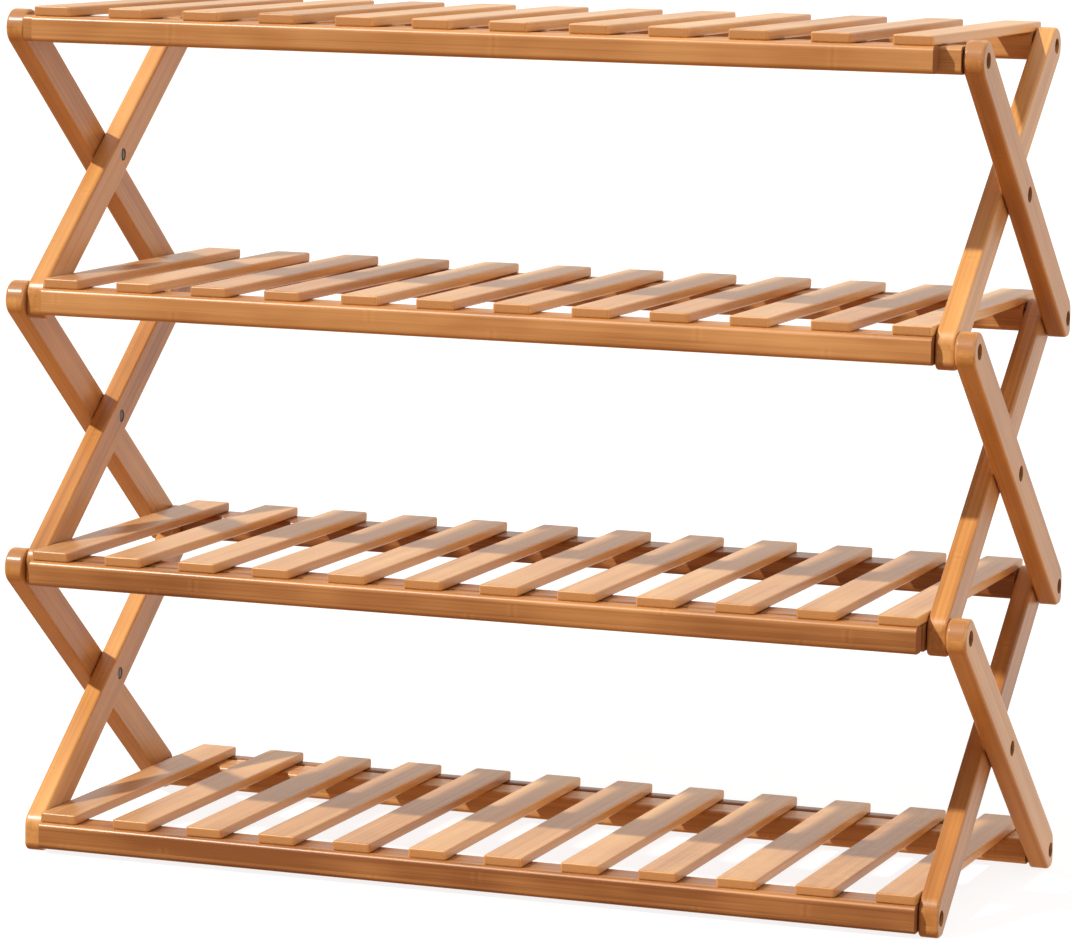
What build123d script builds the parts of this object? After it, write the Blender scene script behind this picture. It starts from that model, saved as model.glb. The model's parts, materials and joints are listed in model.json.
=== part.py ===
# Folding bamboo shoe rack: four slatted shelves carried by three scissor stages at each end.
#
# Frame: X runs along the rack, Y from front to back, Z up. The origin is on the floor, under
# the middle of the rack. Shelves are counted 1 to 4 from the top, and stages 1 to 3 from the top.
#
# Each shelf is a panel that turns on one rail and hooks over the other. Shelves 1 and 3 turn on
# their back rail and hook over the front one. Shelves 2 and 4 turn on their front rail and hook
# over the back one. The hooks stop the scissors from spreading under a load.

import os
from math import atan2, cos, sin

from build123d import *

os.makedirs("parts", exist_ok=True)

# ---- driving dimensions, in millimetres -------------------------------------------------

# whole rack
overall_length = 700.0  # outside face to outside face of the outer bars
pivot_depth = 243.0  # front pivot to back pivot, with the rack open
stage_height = 190.0  # shelf pivot to shelf pivot, with the rack open
stage_count = 3
shelf_count = stage_count + 1

# scissor bars
bar_thickness = 14.0
bar_width = 26.0
bar_edge_radius = 2.0
foot_drop = 13.0  # lower pivot down to the flat of the foot
foot_reach = 8.0  # lower pivot out to the upright end of the foot
foot_shoulder_radius = 12.0  # where the upper edge meets the upright end
foot_toe_radius = 6.0  # where the upright end meets the floor cut
foot_heel_radius = 6.0  # where the lower edge meets the floor cut

# rails, hook battens and slats
rail_depth = 30.0
rail_height = 19.0
rail_edge_radius = 3.5
batten_depth = 14.0
batten_height = 18.0
slat_count = 12
slat_width = 28.0
slat_thickness = 7.0
slat_edge_radius = 1.2
slat_corner_radius = 2.0
slat_inset = 2.5  # slat end behind the face of the rail or batten under it

# clearances
bar_gap = 0.4  # between an outer bar and the inner bar beside it
end_gap = 0.6  # between a bar and the end of a rail
hook_gap = 2.5  # between a free rail and the batten that hooks over it
rest_gap = 0.3  # between a free rail and the slats that come down on it
pin_clearance = 0.1  # radial, where a bar turns on a bolt or a sleeve
head_clearance = 0.5  # radial, round a bolt head
seat_gap = 0.2  # under a bolt head

# shelf bolts, which join the bars to the rail ends
bolt_radius = 3.0
bolt_head_radius = 5.0
bolt_head_height = 2.5
bolt_bite = 14.0  # how far a bolt goes into a rail
socket_radius = 2.3  # hexagon key socket, across its corners
socket_depth = 1.6
bolt_recess = 4.5  # depth of the counterbore for a bolt head
insert_radius = 4.5  # threaded insert in the end of a rail
insert_length = 13.0

# crossing bolts, which join the two bars of a scissor at their middles
crossing_bolt_radius = 2.0
sleeve_radius = 3.0
sleeve_head_radius = 4.0
sleeve_head_height = 1.8
sleeve_recess = 2.6  # depth of the counterbore for a sleeve head
sleeve_slot_width = 1.2
sleeve_slot_depth = 0.8
crossing_bolt_bite = 9.0  # how far the bolt goes into its sleeve

# slat screws, driven up from below
screw_radius = 1.75
screw_head_radius = 3.5
screw_head_height = 2.2
screw_bite = 4.5  # how far a screw goes into a slat
screw_recess = 0.5  # screw head above the underside of its rail
screw_margin = 1.2  # wood between an end slat's screw and the bore for a shelf bolt

# ---- values worked out from the driving dimensions --------------------------------------

half_length = overall_length / 2
half_depth = pivot_depth / 2
half_bar = bar_width / 2
bar_angle = atan2(stage_height, pivot_depth)

outer_bar_start = half_length - bar_thickness  # inner face of an outer bar
inner_bar_end = outer_bar_start - bar_gap  # outer face of an inner bar
inner_bar_start = inner_bar_end - bar_thickness  # inner face of an inner bar

long_rail_half = outer_bar_start - end_gap  # rail that ends against the outer bars
short_rail_half = inner_bar_start - end_gap  # rail that ends against the inner bars

free_rail_height = rail_height - 2 * rest_gap
hook_face = half_depth + rail_depth / 2 + hook_gap  # inner face of a hook batten, from mid-depth
hook_back = hook_face + batten_depth  # outer face of a hook batten, from mid-depth
hinge_face = half_depth + rail_depth / 2  # outer face of a rail, from mid-depth
slat_pitch = (2 * short_rail_half - slat_width) / (slat_count - 1)
slat_places = [-short_rail_half + slat_width / 2 + i * slat_pitch for i in range(slat_count)]
bore_depth = bolt_bite + end_gap  # of the bore in a rail end for an insert and its bolt
screw_limit = short_rail_half - bore_depth - screw_margin - screw_radius
screw_places = [max(-screw_limit, min(x, screw_limit)) for x in slat_places]

BACK = 1
FRONT = -1
hinge_side = {1: BACK, 2: FRONT, 3: BACK, 4: FRONT}  # the rail on which each shelf turns
sides = {"left": -1, "right": 1}


def shelf_pivot_height(shelf):
    """Height of the pivots of a shelf above the floor."""
    return foot_drop + (shelf_count - shelf) * stage_height


def finish(builder, name):
    """Label a finished piece and write its STEP file."""
    builder.part.label = name
    export_step(builder.part, f"parts/{name}.step")


# ---- scissor bars -----------------------------------------------------------------------


def make_bar(name, stage, side, is_outer):
    """One scissor bar, rounded at its top end and cut flat where its foot stands.

    An outer bar runs from the front pivot above to the back pivot below, and an inner bar
    the other way. The toe is the way that the foot points: to the back on an outer bar.
    """
    toe = BACK if is_outer else FRONT
    low = shelf_pivot_height(stage + 1)
    top_pivot = Vector(-toe * half_depth, low + stage_height)
    low_pivot = Vector(toe * half_depth, low)
    middle = (top_pivot + low_pivot) * 0.5
    down = Vector(toe * cos(bar_angle), -sin(bar_angle))
    across = Vector(toe * sin(bar_angle), cos(bar_angle))

    # where the upper edge meets the upright end, and the lower edge meets the floor cut
    upper_run = (pivot_depth + foot_reach - half_bar * sin(bar_angle)) / cos(bar_angle)
    lower_run = (stage_height + foot_drop - half_bar * cos(bar_angle)) / sin(bar_angle)
    upper_start = top_pivot + across * half_bar
    lower_start = top_pivot - across * half_bar
    shoulder = upper_start + down * upper_run
    toe_tip = Vector(toe * (half_depth + foot_reach), low - foot_drop)
    heel = lower_start + down * lower_run

    start = outer_bar_start if is_outer else inner_bar_start
    left_face = start if side > 0 else -(start + bar_thickness)
    outward_face = side * (start + bar_thickness)
    inward_face = side * start

    with BuildPart() as bar:
        with BuildSketch(Plane.YZ.offset(left_face)) as outline:
            with BuildLine():
                Line(upper_start, shoulder)
                Line(shoulder, toe_tip)
                Line(toe_tip, heel)
                Line(heel, lower_start)
                ThreePointArc(lower_start, top_pivot - down * half_bar, upper_start)
            make_face()
            fillet(outline.vertices().sort_by_distance(toe_tip)[0], foot_toe_radius)
            fillet(outline.vertices().sort_by_distance(shoulder)[0], foot_shoulder_radius)
            fillet(outline.vertices().sort_by_distance(heel)[0], foot_heel_radius)
        extrude(amount=bar_thickness)
        fillet(bar.faces().filter_by(Axis.X).edges(), bar_edge_radius)

        # shelf bolts: the head sits in whichever bar is outermost at that pivot
        top_is_outermost = is_outer or stage == 1
        low_is_outermost = is_outer or stage == stage_count
        for pivot, is_outermost in ((top_pivot, top_is_outermost), (low_pivot, low_is_outermost)):
            with Locations(Plane((outward_face, pivot.X, pivot.Y), z_dir=(side, 0, 0))):
                if is_outermost:
                    CounterBoreHole(
                        radius=bolt_radius + pin_clearance,
                        counter_bore_radius=bolt_head_radius + head_clearance,
                        counter_bore_depth=bolt_recess,
                    )
                else:
                    Hole(radius=bolt_radius + pin_clearance)

        # crossing bolt: the bolt head sits in the outer bar, the sleeve head in the inner bar
        face = outward_face if is_outer else inward_face
        facing = side if is_outer else -side
        head_radius = bolt_head_radius if is_outer else sleeve_head_radius
        recess = bolt_recess if is_outer else sleeve_recess
        with Locations(Plane((face, middle.X, middle.Y), z_dir=(facing, 0, 0))):
            CounterBoreHole(
                radius=sleeve_radius + pin_clearance,
                counter_bore_radius=head_radius + head_clearance,
                counter_bore_depth=recess,
            )
    finish(bar, name)


for stage in range(1, stage_count + 1):
    for side_name, side in sides.items():
        make_bar(f"outer_bar_{side_name}_{stage}", stage, side, is_outer=True)
        make_bar(f"inner_bar_{side_name}_{stage}", stage, side, is_outer=False)


# ---- rails and hook battens -------------------------------------------------------------


def screw_holes(y, underside):
    """Cut a stepped hole for each slat's screw up through a rail or batten."""
    spots = [(x, y) for x in screw_places]
    with BuildSketch(Plane.XY.offset(underside)) as heads:
        with Locations(spots):
            Circle(screw_head_radius)
    extrude(heads.sketch, amount=screw_recess + screw_head_height, mode=Mode.SUBTRACT)
    with BuildSketch(Plane.XY.offset(underside)) as shanks:
        with Locations(spots):
            Circle(screw_radius)
    extrude(shanks.sketch, amount=rail_height, mode=Mode.SUBTRACT)


def make_rail(name, shelf, side_y, half, height, has_screws):
    """A rail on a pivot line, bored at both ends for its threaded inserts."""
    pivot_height = shelf_pivot_height(shelf)
    y = side_y * half_depth
    with BuildPart() as rail:
        with BuildSketch(Plane.YZ.offset(-half)):
            with Locations((y, pivot_height)):
                RectangleRounded(rail_depth, height, rail_edge_radius)
        extrude(amount=2 * half)
        for side in sides.values():
            with Locations(Plane((side * half, y, pivot_height), z_dir=(side, 0, 0))):
                Hole(radius=insert_radius, depth=bore_depth)
        if has_screws:
            screw_holes(y, pivot_height - height / 2)
    finish(rail, name)


def make_batten(name, shelf, side_y):
    """The batten under the free ends of the slats, which hooks over the far rail."""
    top = shelf_pivot_height(shelf) + rail_height / 2
    y = side_y * (hook_face + batten_depth / 2)
    with BuildPart() as batten:
        with BuildSketch(Plane.YZ.offset(-short_rail_half)):
            with Locations((y, top - batten_height / 2)):
                RectangleRounded(batten_depth, batten_height, rail_edge_radius)
        extrude(amount=2 * short_rail_half)
        screw_holes(y, top - batten_height)
    finish(batten, name)


def end_bars_are_outer(shelf, side_y):
    """True at the two corners of the side frame where no inner bar comes."""
    return (shelf == 1 and side_y == FRONT) or (shelf == shelf_count and side_y == BACK)


for shelf, turning in hinge_side.items():
    free = -turning
    free_name = "back" if free == BACK else "front"
    free_half = long_rail_half if end_bars_are_outer(shelf, free) else short_rail_half
    make_rail(f"hinge_rail_{shelf}", shelf, turning, short_rail_half, rail_height, True)
    make_rail(f"free_{free_name}_rail_{shelf}", shelf, free, free_half, free_rail_height, False)
    make_batten(f"hook_batten_{shelf}", shelf, free)


# ---- slats ------------------------------------------------------------------------------


def make_slats(name, shelf, turning):
    """The slats of one shelf, each a separate board. Their screws bite into plain wood."""
    underside = shelf_pivot_height(shelf) + rail_height / 2
    turning_end = turning * (hinge_face - slat_inset)
    free_end = -turning * (hook_back - slat_inset)
    with BuildPart() as slat:
        with BuildSketch():
            RectangleRounded(slat_width, abs(turning_end - free_end), slat_corner_radius)
        extrude(amount=slat_thickness)
        fillet(slat.faces().filter_by(Axis.Z).edges(), slat_edge_radius)
    with BuildPart() as slats:
        with Locations([(x, (turning_end + free_end) / 2, underside) for x in slat_places]):
            add(slat.part)
    finish(slats, name)


for shelf, turning in hinge_side.items():
    make_slats(f"slats_{shelf}", shelf, turning)


# ---- slat screws ------------------------------------------------------------------------


def make_slat_screws(name, shelf, turning):
    """Two wood screws to a slat: one through the hinge rail and one through the batten."""
    top = shelf_pivot_height(shelf) + rail_height / 2
    lines = (
        (turning * half_depth, top - rail_height),
        (-turning * (hook_face + batten_depth / 2), top - batten_height),
    )
    with BuildPart() as screws:
        for y, underside in lines:
            head_base = underside + screw_recess
            with BuildSketch(Plane.XY.offset(head_base)):
                with Locations([(x, y) for x in screw_places]):
                    Circle(screw_head_radius)
            extrude(amount=screw_head_height)
            with BuildSketch(Plane.XY.offset(head_base + screw_head_height)):
                with Locations([(x, y) for x in screw_places]):
                    Circle(screw_radius)
            extrude(amount=top + screw_bite - head_base - screw_head_height)
    finish(screws, name)


for shelf, turning in hinge_side.items():
    make_slat_screws(f"slat_screws_{shelf}", shelf, turning)


# ---- shelf bolts and their threaded inserts ---------------------------------------------


def make_shelf_bolts(name, shelf, side_y, rail_half, outer_face):
    """The pair of bolts on one pivot line, with hexagon key sockets in their heads."""
    y = side_y * half_depth
    z = shelf_pivot_height(shelf)
    head_seat = outer_face - bolt_recess + seat_gap
    tip = rail_half - bolt_bite
    with BuildPart() as bolts:
        for side in sides.values():
            outward = Plane((side * head_seat, y, z), z_dir=(side, 0, 0))
            with BuildSketch(outward):
                Circle(bolt_head_radius)
            extrude(amount=bolt_head_height)
            with BuildSketch(outward):
                Circle(bolt_radius)
            extrude(amount=-(head_seat - tip))
            with BuildSketch(outward.offset(bolt_head_height)):
                RegularPolygon(socket_radius, 6)
            extrude(amount=-socket_depth, mode=Mode.SUBTRACT)
    finish(bolts, name)


def make_inserts(name, shelf, side_y, rail_half):
    """The pair of threaded inserts in the ends of one rail."""
    y = side_y * half_depth
    z = shelf_pivot_height(shelf)
    with BuildPart() as inserts:
        for side in sides.values():
            with BuildSketch(Plane((side * rail_half, y, z), z_dir=(-side, 0, 0))):
                Circle(insert_radius)
                Circle(bolt_radius, mode=Mode.SUBTRACT)
            extrude(amount=insert_length)
    finish(inserts, name)


for shelf in hinge_side:
    for side_name, side_y in (("front", FRONT), ("back", BACK)):
        is_long = end_bars_are_outer(shelf, side_y)
        rail_half = long_rail_half if is_long else short_rail_half
        inner_alone = end_bars_are_outer(shelf, -side_y)  # no outer bar at this corner
        outer_face = inner_bar_end if inner_alone else half_length
        make_shelf_bolts(f"shelf_bolts_{side_name}_{shelf}", shelf, side_y, rail_half, outer_face)
        make_inserts(f"threaded_inserts_{side_name}_{shelf}", shelf, side_y, rail_half)


# ---- crossing bolts and their sleeves ---------------------------------------------------


def make_crossing_bolts(name, stage):
    """The bolts at the middles of the two scissors of one stage."""
    z = shelf_pivot_height(stage + 1) + stage_height / 2
    head_seat = half_length - bolt_recess + seat_gap
    with BuildPart() as bolts:
        for side in sides.values():
            outward = Plane((side * head_seat, 0, z), z_dir=(side, 0, 0))
            with BuildSketch(outward):
                Circle(bolt_head_radius)
            extrude(amount=bolt_head_height)
            with BuildSketch(outward):
                Circle(crossing_bolt_radius)
            extrude(amount=-crossing_bolt_bite)
            with BuildSketch(outward.offset(bolt_head_height)):
                RegularPolygon(socket_radius, 6)
            extrude(amount=-socket_depth, mode=Mode.SUBTRACT)
    finish(bolts, name)


def make_sleeves(name, stage):
    """The slotted sleeve nuts that take the crossing bolts, each both a nut and a bearing."""
    z = shelf_pivot_height(stage + 1) + stage_height / 2
    head_seat = inner_bar_start + sleeve_recess - seat_gap
    far_end = half_length - bolt_recess + seat_gap
    with BuildPart() as sleeves:
        for side in sides.values():
            outward = Plane((side * head_seat, 0, z), z_dir=(side, 0, 0))
            with BuildSketch(outward):
                Circle(sleeve_head_radius)
            extrude(amount=-sleeve_head_height)
            with BuildSketch(outward):
                Circle(sleeve_radius)
            extrude(amount=far_end - head_seat)
            with BuildSketch(outward.offset(far_end - head_seat)):
                Circle(crossing_bolt_radius)
            extrude(amount=-crossing_bolt_bite, mode=Mode.SUBTRACT)
            with BuildSketch(outward.offset(-sleeve_head_height)):
                Rectangle(2 * sleeve_head_radius, sleeve_slot_width)
            extrude(amount=sleeve_slot_depth, mode=Mode.SUBTRACT)
    finish(sleeves, name)


for stage in range(1, stage_count + 1):
    make_crossing_bolts(f"crossing_bolts_{stage}", stage)
    make_sleeves(f"crossing_sleeves_{stage}", stage)
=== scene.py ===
# %% [markdown]
# # A folding bamboo shoe rack
#
# This lesson dresses a working model of a folding shoe rack. The frame that we load already
# holds every part at its true size: twelve scissor bars, eight rails, four hook battens,
# forty-eight slats, and the bolts and screws that join them. Our work is its looks. We choose
# a view, light it like a small studio, make the wood and the metal, and rebuild the pieces
# that a craftsman's hand leaves a little uneven.
#
# Everything here is in metres, with Z up, and the rack stands on the floor at height zero.

# %% Load the rack
import json
import math
import random

import bmesh
import bpy
from mathutils import Matrix, Vector


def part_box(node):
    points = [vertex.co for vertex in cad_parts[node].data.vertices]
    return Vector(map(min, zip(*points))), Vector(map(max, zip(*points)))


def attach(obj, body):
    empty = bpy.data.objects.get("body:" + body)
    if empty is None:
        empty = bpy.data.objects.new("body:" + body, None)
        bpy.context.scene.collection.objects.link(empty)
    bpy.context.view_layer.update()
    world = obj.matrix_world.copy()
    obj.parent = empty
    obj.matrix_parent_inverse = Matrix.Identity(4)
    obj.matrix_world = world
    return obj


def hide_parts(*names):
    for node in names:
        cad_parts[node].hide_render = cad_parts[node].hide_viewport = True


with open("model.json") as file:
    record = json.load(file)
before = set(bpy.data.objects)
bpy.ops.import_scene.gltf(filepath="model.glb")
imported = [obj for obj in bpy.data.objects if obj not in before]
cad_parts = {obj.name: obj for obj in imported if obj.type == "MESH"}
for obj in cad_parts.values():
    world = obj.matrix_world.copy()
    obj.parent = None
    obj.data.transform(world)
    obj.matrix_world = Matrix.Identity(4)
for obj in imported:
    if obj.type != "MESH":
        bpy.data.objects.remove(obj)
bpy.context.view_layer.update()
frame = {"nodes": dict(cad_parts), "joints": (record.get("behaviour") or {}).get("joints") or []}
nodes = frame["nodes"]

# %% [markdown]
# ## Where things are
#
# We could type in the heights of the shelves and the slope of the bars, but then a change to
# the rack would leave our script behind. The joints of the frame already say where every
# pivot is, so we read the slope of the bars from two of them: the pivot at the back foot,
# and the pivot where the same bars meet the shelf above.

# %% Read the pivots and the slope of the bars
pivot = {joint["name"]: Vector(joint["pos_m"]) for joint in frame["joints"]}
back_foot = pivot["fold"]
front_above = pivot["front_pivot_3"]
stage_height = front_above.z - back_foot.z
pivot_depth = back_foot.y - front_above.y
bar_slope = math.atan2(stage_height, pivot_depth)
print("a stage is", round(stage_height, 4), "high and", round(pivot_depth, 4), "deep, bars at",
      round(math.degrees(bar_slope), 1), "degrees")

# %% [markdown]
# ## The view
#
# Furniture is often drawn from a little to one side and a little above, so that the front,
# one end and the tops of the shelves all show. A long lens keeps the uprights nearly
# parallel. We could point a camera with an empty and a Track To constraint, but a matrix
# built from three directions is exact, and lets us add the slight roll of a hand-held
# camera.

# %% Place the camera
TURN = math.radians(19.81)  # how far round to the right the camera stands
RISE = math.radians(7.72)  # how far above the level it stands
ROLL = math.radians(1.05)
DISTANCE = 3.382
LENS = 161.05  # millimetres, on a 36 mm sensor
look_at = Vector((-0.0006, 0.0, 0.2763))

back = Vector((math.sin(TURN) * math.cos(RISE), -math.cos(TURN) * math.cos(RISE), math.sin(RISE)))
right = (-back).cross(Vector((0, 0, 1))).normalized()
up = right.cross(-back)
rolled_right = right * math.cos(ROLL) + up * math.sin(ROLL)
rolled_up = up * math.cos(ROLL) - right * math.sin(ROLL)

camera_data = bpy.data.cameras.new("camera")
camera_data.lens = LENS
camera_data.sensor_width = 36.0
camera_data.clip_end = 200.0
camera = bpy.data.objects.new("camera", camera_data)
turn_matrix = Matrix((rolled_right, rolled_up, back)).transposed()
camera.matrix_world = Matrix.Translation(look_at + back * DISTANCE) @ turn_matrix.to_4x4()
bpy.context.scene.collection.objects.link(camera)
bpy.context.scene.camera = camera
print("camera at", [round(v, 3) for v in camera.matrix_world.translation])

# %% [markdown]
# ## Studio light
#
# Three lights make this picture, and each has one job.
#
# - The key stands high on the left and in front. The front edge of each shelf throws a band
#   of shade down the bars, and the slats throw bars of shade on the shelf below. A sun lamp
#   gives that even, parallel light, and its small angle keeps the edges of the shade crisp.
# - The fill stands low on the right, so that the ends of the rack stay pale instead of
#   falling into shade. It is a sun lamp too, with a very wide angle, which is what a big
#   sheet of white card does.
# - The room itself is the world. A studio is bright overhead, dim in front, warm below where
#   the wood lights itself, and brightest behind, where the white backdrop hangs. The backdrop
#   hardly lights the front, but the tops of the slats and the ends of the rack catch it at a
#   glancing angle, and that is where lacquered wood gets its pale sheen.

# %% Place the key and the fill


def sun_lamp(name, travel, strength, width, colour):
    """Even light that travels one way, with shadow edges as soft as its width in degrees."""
    lamp = bpy.data.lights.new(name, "SUN")
    lamp.energy = strength
    lamp.angle = math.radians(width)
    lamp.color = colour
    holder = bpy.data.objects.new(name, lamp)
    holder.rotation_euler = Vector(travel).to_track_quat("-Z", "Y").to_euler()
    bpy.context.scene.collection.objects.link(holder)


KEY_TRAVEL = (0.90, 1.00, -1.37)
KEY_COLOUR = (1.0, 0.95, 0.86)
FILL_TRAVEL = (-1.00, 0.12, -0.16)
FILL_COLOUR = (1.0, 0.92, 0.86)
sun_lamp("key_light", KEY_TRAVEL, strength=3.6, width=2.0, colour=KEY_COLOUR)
sun_lamp("fill_light", FILL_TRAVEL, strength=1.25, width=50.0, colour=FILL_COLOUR)
print("key light travels along", KEY_TRAVEL, "and fill light along", FILL_TRAVEL)

# %% [markdown]
# The world is a sphere of light, and its shader can ask which way it is being looked at. So
# one ramp by height makes floor, front and ceiling, and one band towards the back makes the
# backdrop.
#
# The painted room is there to light the wood, not to be looked at. From a low place its warm
# lower half would show as a brown band over the horizon. The Light Path node tells a ray that
# is only looking from one that gathers light, so what is looked at can be plain white paper.

# %% Paint the room
BELOW = (0.52, 0.29, 0.15, 1.0)
LEVEL = (0.25, 0.22, 0.20, 1.0)
ABOVE = (0.86, 0.84, 0.84, 1.0)
BACKDROP = (0.92, 0.84, 0.76, 1.0)
PAPER = (1.0, 1.0, 1.0, 1.0)
LEVEL_RANGE = (0.12, 0.45)  # heights between which the room has its level colour
BACKDROP_RANGE = (0.35, 0.85)  # where the backdrop starts, and where it is at its full brightness
COLOUR_A, COLOUR_B, COLOUR_OUT = 6, 7, 2  # places of a Mix node's colour sockets
world = bpy.data.worlds.new("studio_room")
bpy.context.scene.world = world
world.use_nodes = True
room = world.node_tree
looking = room.nodes.new("ShaderNodeTexCoord").outputs["Generated"]
looking_split = room.nodes.new("ShaderNodeSeparateXYZ")
room.links.new(looking, looking_split.inputs["Vector"])
by_height = room.nodes.new("ShaderNodeValToRGB")
by_height.color_ramp.elements[0].color = BELOW
by_height.color_ramp.elements[1].color = ABOVE
for height in LEVEL_RANGE:
    by_height.color_ramp.elements.new(height).color = LEVEL
room.links.new(looking_split.outputs["Z"], by_height.inputs["Fac"])
towards_back = room.nodes.new("ShaderNodeMapRange")
towards_back.interpolation_type = "SMOOTHSTEP"
towards_back.inputs["From Min"].default_value = BACKDROP_RANGE[0]
towards_back.inputs["From Max"].default_value = BACKDROP_RANGE[1]
room.links.new(looking_split.outputs["Y"], towards_back.inputs["Value"])
with_backdrop = room.nodes.new("ShaderNodeMix")
with_backdrop.data_type = "RGBA"
room.links.new(towards_back.outputs["Result"], with_backdrop.inputs["Factor"])
room.links.new(by_height.outputs["Color"], with_backdrop.inputs[COLOUR_A])
with_backdrop.inputs[COLOUR_B].default_value = BACKDROP
looked_at = room.nodes.new("ShaderNodeLightPath").outputs["Is Camera Ray"]
with_paper = room.nodes.new("ShaderNodeMix")
with_paper.data_type = "RGBA"
room.links.new(looked_at, with_paper.inputs["Factor"])
room.links.new(with_backdrop.outputs[COLOUR_OUT], with_paper.inputs[COLOUR_A])
with_paper.inputs[COLOUR_B].default_value = PAPER
room.links.new(with_paper.outputs[COLOUR_OUT], room.nodes["Background"].inputs["Color"])
bpy.context.scene.view_settings.view_transform = "Standard"
print("the backdrop is", round(BACKDROP[0] / LEVEL[0], 1), "times as bright as the front of the room")

# %% [markdown]
# ## The floor
#
# A plain pale floor is enough: one big square, far wider than the view. White floors throw
# a lot of light back up, which would wash out the shaded undersides of the bars, so we tell
# Cycles that only the camera sees it. It still takes the rack's shadow, but a glow of its
# own keeps that shadow faint, as on a lit table of white glass.

# %% Lay the floor
FLOOR_HALF = 60.0
FLOOR_GREY = (0.20, 0.20, 0.20, 1)
FLOOR_GLOW = 0.86
floor_mesh = bpy.data.meshes.new("floor")
floor_corners = [(x * FLOOR_HALF, y * FLOOR_HALF, 0.0) for x, y in ((-1, -1), (1, -1), (1, 1), (-1, 1))]
floor_mesh.from_pydata(floor_corners, [], [(0, 1, 2, 3)])
floor = bpy.data.objects.new("floor", floor_mesh)
bpy.context.scene.collection.objects.link(floor)
floor_glass = bpy.data.materials.new("floor_glass")
floor_glass.use_nodes = True
floor_shader = floor_glass.node_tree.nodes["Principled BSDF"]
floor_shader.inputs["Base Color"].default_value = FLOOR_GREY
floor_shader.inputs["Roughness"].default_value = 0.9
floor_shader.inputs["Emission Color"].default_value = (1.0, 1.0, 1.0, 1)
floor_shader.inputs["Emission Strength"].default_value = FLOOR_GLOW
floor_mesh.materials.append(floor_glass)
floor.visible_diffuse = False
floor.visible_glossy = False
print("floor laid,", 2 * FLOOR_HALF, "m square")

# %% [markdown]
# ## A little help with shader nodes
#
# A node tree built in code soon turns into long rows of "new" and "link". These two helpers
# keep it readable. `put` adds a node and fills its inputs: where we hand it another node's
# output it makes a link, and where we hand it a number it sets the socket. `calc` is the
# same for one step of arithmetic.


# %% Two helpers for node trees
def put(tree, kind, inputs=None, **settings):
    """Add a node, set its options, and fill its inputs with values or links."""
    made = tree.nodes.new(kind)
    for name, value in settings.items():
        setattr(made, name, value)
    for name, value in (inputs or {}).items():
        if isinstance(value, bpy.types.NodeSocket):
            tree.links.new(value, made.inputs[name])
        else:
            made.inputs[name].default_value = value
    return made


def calc(tree, operation, first, second=0.0, third=0.0, clamp=False):
    """One step of arithmetic on numbers or sockets."""
    values = {0: first, 1: second, 2: third}
    return put(tree, "ShaderNodeMath", values, operation=operation, use_clamp=clamp).outputs[0]


print("helpers ready")

# %% [markdown]
# ## What carbonised bamboo looks like
#
# Bamboo boards aren't sawn from a log. The cane is split into strips, steamed until the
# sugar in it turns to caramel, and the strips are glued side by side. So four things show:
#
# - strips of slightly different tone, with a hair of darker glue between them,
# - fine straight fibres along the strip, far finer than the grain of a tree,
# - a node every quarter of a metre or so, where the cane had a ring: a narrow darker band
#   that stops at the edge of its own strip,
# - on a cut end, no lines at all but a pepper of dark dots, the ends of the fibres.
#
# A flat picture of wood wrapped on the boards would show none of this truly where they end or
# turn a corner. We make it from numbers instead, in one node group that takes a place
# measured along, across and through the board, and works for every board on the rack.

# %% The bamboo group: its sockets and its strips
STRIP_WIDTH = 0.0089
LAYER_THICKNESS = 0.0063
STRIP_SHIFT = 7.31  # strips that the pattern moves over for each whole board number
LAYER_SHIFT = 3.17  # and layers
bamboo = bpy.data.node_groups.new("carbonised_bamboo", "ShaderNodeTree")
for socket_name, socket_kind in (
    ("Place", "NodeSocketVector"),
    ("Facing end", "NodeSocketFloat"),
    ("Facing edge", "NodeSocketFloat"),
    ("Board", "NodeSocketFloat"),
    ("Paleness", "NodeSocketFloat"),
):
    bamboo.interface.new_socket(socket_name, in_out="INPUT", socket_type=socket_kind)
for socket_name, socket_kind in (
    ("Color", "NodeSocketColor"),
    ("Roughness", "NodeSocketFloat"),
    ("Height", "NodeSocketFloat"),
):
    bamboo.interface.new_socket(socket_name, in_out="OUTPUT", socket_type=socket_kind)

given = bamboo.nodes.new("NodeGroupInput").outputs
place = put(bamboo, "ShaderNodeSeparateXYZ", {"Vector": given["Place"]}).outputs
along, across, through = place["X"], place["Y"], place["Z"]
board = given["Board"]

strip_start = calc(bamboo, "MULTIPLY", board, STRIP_SHIFT)
layer_start = calc(bamboo, "MULTIPLY", board, LAYER_SHIFT)
strip_place = calc(bamboo, "MULTIPLY_ADD", across, 1 / STRIP_WIDTH, strip_start)
layer_place = calc(bamboo, "MULTIPLY_ADD", through, 1 / LAYER_THICKNESS, layer_start)
strip = calc(bamboo, "FLOOR", strip_place)
layer = calc(bamboo, "FLOOR", layer_place)
strip_key = put(bamboo, "ShaderNodeCombineXYZ", {"X": strip, "Y": layer, "Z": board}).outputs[0]
strip_chance = put(bamboo, "ShaderNodeTexWhiteNoise", {"Vector": strip_key}, noise_dimensions="3D").outputs
board_chance = put(bamboo, "ShaderNodeTexWhiteNoise", {"W": board}, noise_dimensions="1D").outputs["Value"]
print("strips are", STRIP_WIDTH * 1000, "mm wide, in layers", LAYER_THICKNESS * 1000, "mm thick")

# %% [markdown]
# ### Fibres, streaks and clouds
#
# Stretching a noise texture is the simplest way to draw fibres: we squeeze its scale along
# the board and let it run fast across. Three of them at different scales are enough. The
# fastest is single fibres, the middle one is the streaks that the eye picks out, and the
# slow one is the way that a strip drifts from light to dark over a hand's width. Each is
# shifted by the board's own number, so no two boards are alike.


# %% Three stretched noises
BOARD_SHIFT = 13.7  # how far along the noise each whole board number starts


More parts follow.
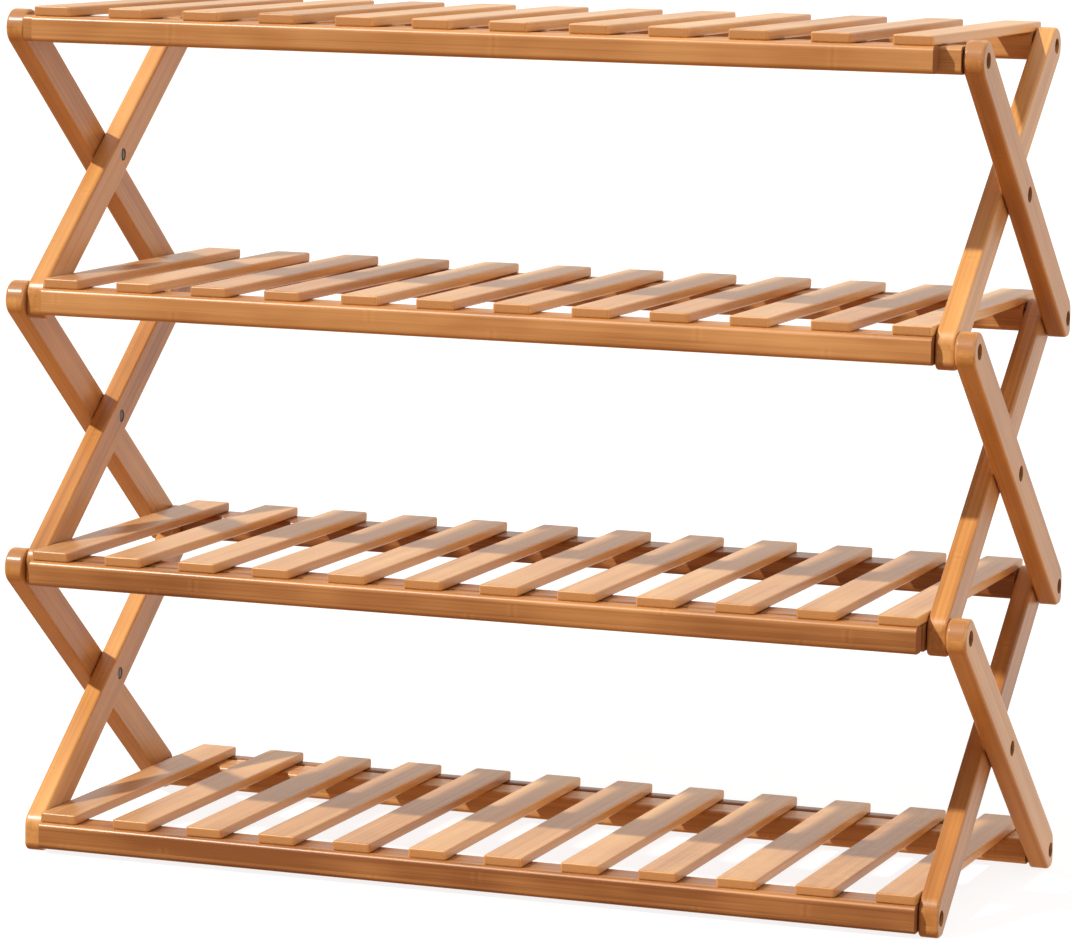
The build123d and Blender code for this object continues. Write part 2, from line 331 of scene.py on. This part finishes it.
def stretched_noise(tree, along_scale, across_scale, detail):
    """Noise drawn out along the board, from 0 to 1."""
    shifted = calc(tree, "MULTIPLY_ADD", along, along_scale, calc(tree, "MULTIPLY", board, BOARD_SHIFT))
    beside = calc(tree, "MULTIPLY", across, across_scale)
    behind = calc(tree, "MULTIPLY", through, across_scale)
    vector = put(tree, "ShaderNodeCombineXYZ", {"X": shifted, "Y": beside, "Z": behind}).outputs[0]
    noise_inputs = {"Vector": vector, "Scale": 1.0, "Detail": detail, "Roughness": 0.6}
    return put(tree, "ShaderNodeTexNoise", noise_inputs, noise_dimensions="3D").outputs["Fac"]


fibres = stretched_noise(bamboo, along_scale=9.0, across_scale=1500.0, detail=2.0)
streaks = stretched_noise(bamboo, along_scale=3.5, across_scale=330.0, detail=3.0)
clouds = stretched_noise(bamboo, along_scale=9.0, across_scale=22.0, detail=2.0)
print("three noises: fibres, streaks and clouds")

# %% [markdown]
# ### Nodes of the cane
#
# Every strip was cut from its own cane, so each has its nodes at its own places. We repeat a
# distance along the strip, start it at a random place for each strip, and measure how far
# we are from the middle of the mark. A smooth step turns that distance into a narrow band,
# and a wider one makes the pale collar beside it.

# %% Node marks and glue lines
NODE_SPACING = 0.235
NODE_HALF_WIDTH = 0.0024
COLLAR_HALF_WIDTH = 0.006
GLUE_SHARE = 0.035  # of a strip's width
NODE_WANDER = 0.006  # of the spacing, so that a mark isn't dead straight

wander = calc(bamboo, "MULTIPLY_ADD", streaks, NODE_WANDER, strip_chance["Value"])
repeat = calc(bamboo, "FRACT", calc(bamboo, "MULTIPLY_ADD", along, 1 / NODE_SPACING, wander))
off_middle = calc(bamboo, "ABSOLUTE", calc(bamboo, "SUBTRACT", repeat, 0.5))
from_node = calc(bamboo, "MULTIPLY", off_middle, NODE_SPACING)


def fade(tree, distance, width):
    """1 at no distance, falling smoothly to 0 at the given width."""
    inputs = {"Value": distance, "From Min": width, "From Max": 0.0, "To Min": 0.0, "To Max": 1.0}
    return put(tree, "ShaderNodeMapRange", inputs, interpolation_type="SMOOTHSTEP").outputs[0]


node_mark = fade(bamboo, from_node, NODE_HALF_WIDTH)
node_collar = fade(bamboo, from_node, COLLAR_HALF_WIDTH)
strip_edge = calc(bamboo, "ABSOLUTE", calc(bamboo, "SUBTRACT", calc(bamboo, "FRACT", strip_place), 0.5))
glue_line = fade(bamboo, calc(bamboo, "SUBTRACT", 0.5, strip_edge), GLUE_SHARE)
print("a node every", NODE_SPACING, "m, marks", 2000 * NODE_HALF_WIDTH, "mm wide")

# %% [markdown]
# ### Cut ends
#
# The ends of the slats and battens are sawn across the fibres. There the lines must stop,
# and dots take over: a Voronoi texture with small cells gives a scatter of points. Which
# faces are ends? The material tells the group how squarely a face looks along the board.
# A sawn end drinks more lacquer than a planed face, so it is darker as well.

# %% End grain
dot_place = put(bamboo, "ShaderNodeCombineXYZ", {"X": across, "Y": through, "Z": board}).outputs[0]
dots = put(bamboo, "ShaderNodeTexVoronoi", {"Vector": dot_place, "Scale": 950.0}).outputs["Distance"]
dot = fade(bamboo, dots, 0.42)
is_end = put(
    bamboo,
    "ShaderNodeMapRange",
    {"Value": given["Facing end"], "From Min": 0.75, "From Max": 0.95},
    interpolation_type="SMOOTHSTEP",
).outputs[0]
print("end grain has dots about a millimetre apart")

# %% [markdown]
# ### Mixing the tones
#
# All of these push one number up or down, from dark caramel to pale honey, and a colour ramp
# turns that number into wood. Mixing numbers first and colouring once keeps every mixture
# inside the family of tones that real bamboo has. The edges of a board, where the strips
# are seen from the side, are a shade more golden, and its faces a shade pinker.

# %% Tone, colour, roughness and relief
MIDDLE = 0.5  # of the ramp, and of every noise
SWINGS = (  # how far each noise moves the tone, from its darkest to its palest
    (strip_chance["Value"], 0.20),
    (board_chance, 0.36),
    (streaks, 0.40),
    (fibres, 0.24),
    (clouds, 0.62),
)
MARKS = ((node_collar, 0.07), (node_mark, -0.10), (glue_line, -0.10))  # paler above 0, darker below
END_TONE = 0.27
END_DOT_DEPTH = 0.14

tone = MIDDLE
for noise, swing in SWINGS:
    tone = calc(bamboo, "MULTIPLY_ADD", calc(bamboo, "SUBTRACT", noise, MIDDLE), swing, tone)
for mark, shift in MARKS:
    tone = calc(bamboo, "MULTIPLY_ADD", mark, shift, tone)
end_tone = calc(bamboo, "SUBTRACT", END_TONE, calc(bamboo, "MULTIPLY", dot, END_DOT_DEPTH))
mixed_tone = put(
    bamboo, "ShaderNodeMix", {"Factor": is_end, "A": tone, "B": end_tone}, data_type="FLOAT"
).outputs["Result"]
mixed_tone = calc(bamboo, "ADD", mixed_tone, given["Paleness"])

TONES = (
    (0.00, (0.235, 0.082, 0.022, 1)),
    (0.30, (0.455, 0.205, 0.066, 1)),
    (0.55, (0.610, 0.315, 0.118, 1)),
    (0.78, (0.715, 0.410, 0.175, 1)),
    (1.00, (0.800, 0.520, 0.265, 1)),
)
ramp = put(bamboo, "ShaderNodeValToRGB", {"Fac": mixed_tone})
while len(ramp.color_ramp.elements) < len(TONES):
    ramp.color_ramp.elements.new(0.5)
for stop, (position, colour) in zip(ramp.color_ramp.elements, TONES):
    stop.position = position
    stop.color = colour
FACE_TINT = (1.0, 1.0, 1.0, 1)
EDGE_TINT = (1.06, 0.98, 0.74, 1)
tint = put(
    bamboo,
    "ShaderNodeMix",
    {"Factor": given["Facing edge"], "A": FACE_TINT, "B": EDGE_TINT},
    data_type="RGBA",
)
tinted = put(bamboo, "ShaderNodeMix", data_type="RGBA", blend_type="MULTIPLY")
tinted.inputs["Factor"].default_value = 1.0
bamboo.links.new(ramp.outputs["Color"], tinted.inputs[COLOUR_A])
bamboo.links.new(tint.outputs[COLOUR_OUT], tinted.inputs[COLOUR_B])

FACE_ROUGHNESS = 0.43
CLOUD_ROUGHNESS = 0.20  # how far the clouds move it
END_ROUGHNESS = 0.22  # how much rougher a sawn end is
end_pit = calc(bamboo, "MULTIPLY", dot, is_end)
HEIGHTS = ((fibres, 0.35), (streaks, 0.30), (node_mark, 0.20), (glue_line, -0.35), (end_pit, -0.30))

cloud_swing = calc(bamboo, "SUBTRACT", clouds, MIDDLE)
gloss = calc(bamboo, "MULTIPLY_ADD", cloud_swing, CLOUD_ROUGHNESS, FACE_ROUGHNESS)
gloss = calc(bamboo, "MULTIPLY_ADD", is_end, END_ROUGHNESS, gloss)
relief = 0.0
for feature, height in HEIGHTS:
    relief = calc(bamboo, "MULTIPLY_ADD", feature, height, relief)
given_out = bamboo.nodes.new("NodeGroupOutput").inputs
bamboo.links.new(tinted.outputs[COLOUR_OUT], given_out["Color"])
bamboo.links.new(gloss, given_out["Roughness"])
bamboo.links.new(relief, given_out["Height"])
print("bamboo group has", len(bamboo.nodes), "nodes")

# %% [markdown]
# ## One wood, many boards
#
# Each board needs the same wood laid along its own length. A bar leans, a rail lies along
# the rack and a slat lies across it, so the material measures its place with three dot
# products against the board's own directions. UV maps would do it too, but they would
# have to be drawn for every board, and the dot products follow the rack wherever it folds,
# because object coordinates travel with the part.
#
# The lacquer is one thin satin coat over all of it.


# %% Make a bamboo material for a board's directions
RELIEF_STRENGTH = 0.35
RELIEF_DEPTH = 0.00035
LACQUER_IOR = 1.47
LACQUER_WEIGHT = 0.45
LACQUER_ROUGHNESS = 0.24


def bamboo_finish(name, along_way, across_way, through_way, paleness, board_number=None):
    """Bamboo laid along a board. Without a number, the mesh tells each board's own."""
    finish = bpy.data.materials.new(name)
    finish.use_nodes = True
    tree = finish.node_tree
    shader = tree.nodes["Principled BSDF"]
    coordinates = tree.nodes.new("ShaderNodeTexCoord").outputs
    ways = [
        put(tree, "ShaderNodeVectorMath", {0: coordinates["Object"], 1: way}, operation="DOT_PRODUCT")
        for way in (along_way, across_way, through_way)
    ]
    measured = put(tree, "ShaderNodeCombineXYZ")
    for axis, way in zip("XYZ", ways):
        tree.links.new(way.outputs["Value"], measured.inputs[axis])
    facing = {}
    for key, way in (("end", along_way), ("edge", across_way)):
        directions = {0: coordinates["Normal"], 1: way}
        squareness = put(tree, "ShaderNodeVectorMath", directions, operation="DOT_PRODUCT")
        facing[key] = calc(tree, "ABSOLUTE", squareness.outputs["Value"])
    group = put(tree, "ShaderNodeGroup", node_tree=bamboo)
    tree.links.new(measured.outputs[0], group.inputs["Place"])
    tree.links.new(facing["end"], group.inputs["Facing end"])
    tree.links.new(facing["edge"], group.inputs["Facing edge"])
    if board_number is None:
        told = put(tree, "ShaderNodeAttribute", attribute_name="board")
        tree.links.new(told.outputs["Fac"], group.inputs["Board"])
    else:
        group.inputs["Board"].default_value = board_number
    group.inputs["Paleness"].default_value = paleness
    bump = put(tree, "ShaderNodeBump", {"Strength": RELIEF_STRENGTH, "Distance": RELIEF_DEPTH})
    tree.links.new(group.outputs["Height"], bump.inputs["Height"])
    tree.links.new(group.outputs["Color"], shader.inputs["Base Color"])
    tree.links.new(group.outputs["Roughness"], shader.inputs["Roughness"])
    tree.links.new(bump.outputs["Normal"], shader.inputs["Normal"])
    shader.inputs["IOR"].default_value = LACQUER_IOR
    shader.inputs["Coat Weight"].default_value = LACQUER_WEIGHT
    shader.inputs["Coat Roughness"].default_value = LACQUER_ROUGHNESS
    return finish


X_WAY, Y_WAY, Z_WAY = (1.0, 0.0, 0.0), (0.0, 1.0, 0.0), (0.0, 0.0, 1.0)
print("bamboo finish ready")

# %% [markdown]
# ## Dress the bars, rails and battens
#
# These parts come from the drawing with their true rounding and their stepped bolt holes, so
# their shape stays and only their finish changes. Every one gets its own board number, or
# the rack would look stamped out. An outer bar runs down to the back and an inner bar down
# to the front, so they take opposite slopes.

# %% Give every bar, rail and batten its own board of bamboo
BAR_PALENESS = -0.03
# Rails and battens are made darker than the bars: painted shade, standing in for the shade on their front
# faces.
RAIL_PAINTED_SHADE = -0.24
BOARD_STEP = 0.618  # from one board's number to the next
slope_cos, slope_sin = math.cos(bar_slope), math.sin(bar_slope)
outer_along, outer_across = (0.0, slope_cos, -slope_sin), (0.0, slope_sin, slope_cos)
inner_along, inner_across = (0.0, -slope_cos, -slope_sin), (0.0, -slope_sin, slope_cos)


def dress(part, finish):
    """Put one finish on a part that comes from the drawing."""
    part.data.materials.clear()
    part.data.materials.append(finish)


dressed = 0
for number, name in enumerate(sorted(nodes)):
    board_number = 1.0 + BOARD_STEP * number
    if name.startswith("outer_bar"):
        ways, paleness = (outer_along, outer_across, X_WAY), BAR_PALENESS
    elif name.startswith("inner_bar"):
        ways, paleness = (inner_along, inner_across, X_WAY), BAR_PALENESS
    elif "rail" in name and "bolts" not in name:
        ways, paleness = (X_WAY, Z_WAY, Y_WAY), RAIL_PAINTED_SHADE
    elif name.startswith("hook_batten"):
        ways, paleness = (X_WAY, Z_WAY, Y_WAY), RAIL_PAINTED_SHADE
    else:
        continue
    dress(nodes[name], bamboo_finish(f"bamboo_{name}", *ways, paleness, board_number))
    dressed += 1
print("dressed", dressed, "bars, rails and battens")

# %% [markdown]
# ## Slats
#
# The slats are the most seen pieces, and the drawing's are all exactly alike. Real ones are
# planed by the hundred and screwed down by hand: each is a touch crooked, the arrises are
# knocked off with a quick pass of sandpaper, and a long thin board never lies quite flat.
#
# We rebuild them from the size of the drawing's slats. A bevel on a box would give the
# rounding, and a Bend modifier the bow, but with forty-eight boards it is simpler to shape
# each one in bmesh: a box, its upright corners rounded, its top and bottom arrises eased,
# a few cuts along it, and then each point moved a hair.
#
# All the slats of one shelf stay in one piece, because they turn with that shelf. A number
# stored on the points tells the wood which board it is.

# %% Measure the drawing's slats
SLAT_COUNT = 12
SLAT_WIDTH = 0.0280
CORNER_RADIUS = 0.0022
ARRIS_RADIUS = 0.0013
ROUND_SEGMENTS = 4
FLAT_ENOUGH = 0.9  # how nearly level a face is to count as the top or the bottom
LENGTH_CUTS = 9
MOST_NARROWER = 0.018  # of its width, that a slat may be planed off
MOST_SHORTER = 0.004  # of its length
CUP_RANGE = (0.00005, 0.00018)  # how much lower a slat's long edges lie than its middle
MOST_DIP = 0.00012  # sideways bow and sag at the middle of its length


def slat_layout(shelf):
    """Middle of each slat and the size that they share, from the drawing's box."""
    low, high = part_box(f"slats_{shelf}")
    step = (high.x - low.x - SLAT_WIDTH) / (SLAT_COUNT - 1)
    places = [low.x + SLAT_WIDTH / 2 + i * step for i in range(SLAT_COUNT)]
    size = Vector((SLAT_WIDTH, high.y - low.y, high.z - low.z))
    return [Vector((x, (low.y + high.y) / 2, (low.z + high.z) / 2)) for x in places], size


middles, slat_size = slat_layout(1)
print("slats are", [round(v * 1000, 1) for v in slat_size], "mm,", SLAT_COUNT, "to a shelf")


# %% Shape one slat
def shaped_slat(size, chance):
    """One slat about its own middle, with eased arrises and a hand-made unevenness."""
    shape = bmesh.new()
    bmesh.ops.create_cube(shape, size=1.0)
    narrower = 1.0 - chance.uniform(0.0, MOST_NARROWER)
    shorter = 1.0 - chance.uniform(0.0, MOST_SHORTER)
    bmesh.ops.scale(shape, vec=(size.x * narrower, size.y * shorter, size.z), verts=shape.verts)
    upright = [e for e in shape.edges if abs(e.verts[0].co.z - e.verts[1].co.z) > size.z / 2]
    rounding = {"segments": ROUND_SEGMENTS, "profile": 0.5, "affect": "EDGES"}
    bmesh.ops.bevel(shape, geom=upright, offset=CORNER_RADIUS, **rounding)
    rims = [e for e in shape.edges if any(abs(f.normal.z) > FLAT_ENOUGH for f in e.link_faces)]
    bmesh.ops.bevel(shape, geom=rims, offset=ARRIS_RADIUS, **rounding)
    half = size.y / 2 - 2 * CORNER_RADIUS
    for i in range(1, LENGTH_CUTS):
        cut = half * (2 * i / LENGTH_CUTS - 1)
        geometry = shape.verts[:] + shape.edges[:] + shape.faces[:]
        bmesh.ops.bisect_plane(shape, geom=geometry, plane_co=(0, cut, 0), plane_no=(0, 1, 0))
    cup = chance.uniform(*CUP_RANGE)
    dip = chance.uniform(-MOST_DIP, MOST_DIP)
    for point in shape.verts:
        side = point.co.x / (size.x / 2)
        end = point.co.y / (size.y / 2)
        if point.co.z > 0:
            point.co.z -= cup * side * side + abs(dip) * (1 - end * end)
        point.co.x += dip * (1 - end * end)
    return shape


sample = shaped_slat(slat_size, random.Random(1))
print("one slat has", len(sample.verts), "points and", len(sample.faces), "faces")
sample.free()

# %% [markdown]
# Now the twelve slats of each shelf go down side by side. Each is turned by a fraction of a
# degree about its middle, as when it was screwed on by hand, which moves its ends by half a
# millimetre at most. The random numbers are seeded from the shelf, so the rack comes out the
# same every time.

# %% Lay the slats on the four shelves
MOST_TURN = math.radians(0.22)
# The slats are made paler than the rails and bars: painted light, standing in for the light that falls on
# their tops.
SLAT_PAINTED_LIGHT = 0.10
SLAT_STEP = 1.37  # from one slat's board number to the next
SHELF_STEP = 20  # and from one shelf's to the next
FIRST_SEED = 40
slat_finish = bamboo_finish("bamboo_slats", Y_WAY, X_WAY, Z_WAY, SLAT_PAINTED_LIGHT)


def lay_slats(shelf):
    """All the slats of one shelf as a single piece, riding with that shelf."""
    chance = random.Random(FIRST_SEED + shelf)
    middles, size = slat_layout(shelf)
    mesh = bpy.data.meshes.new(f"shelf_{shelf}_slats")
    points, faces, numbers = [], [], []
    for index, middle in enumerate(middles):
        shape = shaped_slat(size, chance)
        turn = Matrix.Rotation(chance.uniform(-MOST_TURN, MOST_TURN), 3, "Z")
        first = len(points)
        shape.verts.index_update()
        points += [turn @ v.co + middle for v in shape.verts]
        faces += [[first + v.index for v in f.verts] for f in shape.faces]
        numbers += [shelf * SHELF_STEP + index * SLAT_STEP] * len(shape.verts)
        shape.free()
    mesh.from_pydata(points, [], faces)
    mesh.attributes.new("board", "FLOAT", "POINT").data.foreach_set("value", numbers)
    mesh.polygons.foreach_set("use_smooth", [True] * len(mesh.polygons))
    mesh.materials.append(slat_finish)
    piece = bpy.data.objects.new(f"shelf_{shelf}_slats", mesh)
    bpy.context.scene.collection.objects.link(piece)
    even = piece.modifiers.new("even_shading", "WEIGHTED_NORMAL")
    even.keep_sharp = True
    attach(piece, f"shelf_{shelf}")
    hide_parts(f"slats_{shelf}")
    return len(mesh.polygons)


for shelf in range(1, 5):
    print("shelf", shelf, "has slats with", lay_slats(shelf), "faces")

# %% [markdown]
# ## Metal
#
# The bolts, the sleeves at the crossings, the inserts and the screws are plated steel. New
# zinc is bright but never a mirror: the plating leaves fine mottled crystals, and a faint
# straw tint from the bath. Noise in the roughness and a gentle swing in colour say that, and
# a metallic Principled shader does the rest. The bolts and sleeves are given a dark grey in
# place of bright zinc: painted shade, standing in for the shade of their bores.


# %% Make a plated finish and dress the fastenings
MOTTLE_SCALE = 420.0
PATCH_SCALE = 90.0
MOTTLE_ROUGHNESS = 0.25
MOTTLE_DEPTH = 0.0001


def plated_finish(name, colour, dull_colour, roughness):
    """Zinc plating: metallic, mottled, with dull patches."""
    finish = bpy.data.materials.new(name)
    finish.use_nodes = True
    tree = finish.node_tree
    shader = tree.nodes["Principled BSDF"]
    place = tree.nodes.new("ShaderNodeTexCoord").outputs["Object"]
    fine = {"Vector": place, "Scale": MOTTLE_SCALE, "Detail": 4.0}
    broad = {"Vector": place, "Scale": PATCH_SCALE, "Detail": 2.0}
    mottle = put(tree, "ShaderNodeTexNoise", fine).outputs["Fac"]
    patches = put(tree, "ShaderNodeTexNoise", broad).outputs["Fac"]
    mix = put(tree, "ShaderNodeMix", data_type="RGBA")
    tree.links.new(patches, mix.inputs["Factor"])
    mix.inputs[COLOUR_A].default_value = colour
    mix.inputs[COLOUR_B].default_value = dull_colour
    rough = calc(tree, "MULTIPLY_ADD", mottle, MOTTLE_ROUGHNESS, roughness)
    bump = put(tree, "ShaderNodeBump", {"Strength": 0.25, "Distance": MOTTLE_DEPTH, "Height": mottle})
    tree.links.new(mix.outputs[COLOUR_OUT], shader.inputs["Base Color"])
    tree.links.new(rough, shader.inputs["Roughness"])
    tree.links.new(bump.outputs["Normal"], shader.inputs["Normal"])
    shader.inputs["Metallic"].default_value = 1.0
    return finish


# Dark grey on the bolts and sleeves is painted shade, for the shade that falls in their bores.
bolt_painted_shade_finish = plated_finish("bolt_zinc_painted_shade", (0.30, 0.28, 0.26, 1), (0.16, 0.14, 0.13, 1), 0.26)
screw_finish = plated_finish("screw_zinc", (0.70, 0.64, 0.46, 1), (0.50, 0.44, 0.33, 1), 0.28)
insert_finish = plated_finish("insert_zinc", (0.60, 0.60, 0.61, 1), (0.42, 0.42, 0.43, 1), 0.40)
for name, part in nodes.items():
    if name.startswith("slat_screws"):
        dress(part, screw_finish)
    elif name.startswith("threaded_inserts"):
        dress(part, insert_finish)
    elif name.startswith(("shelf_bolts", "crossing")):
        dress(part, bolt_painted_shade_finish)
print("dressed the bolts, sleeves, inserts and screws")
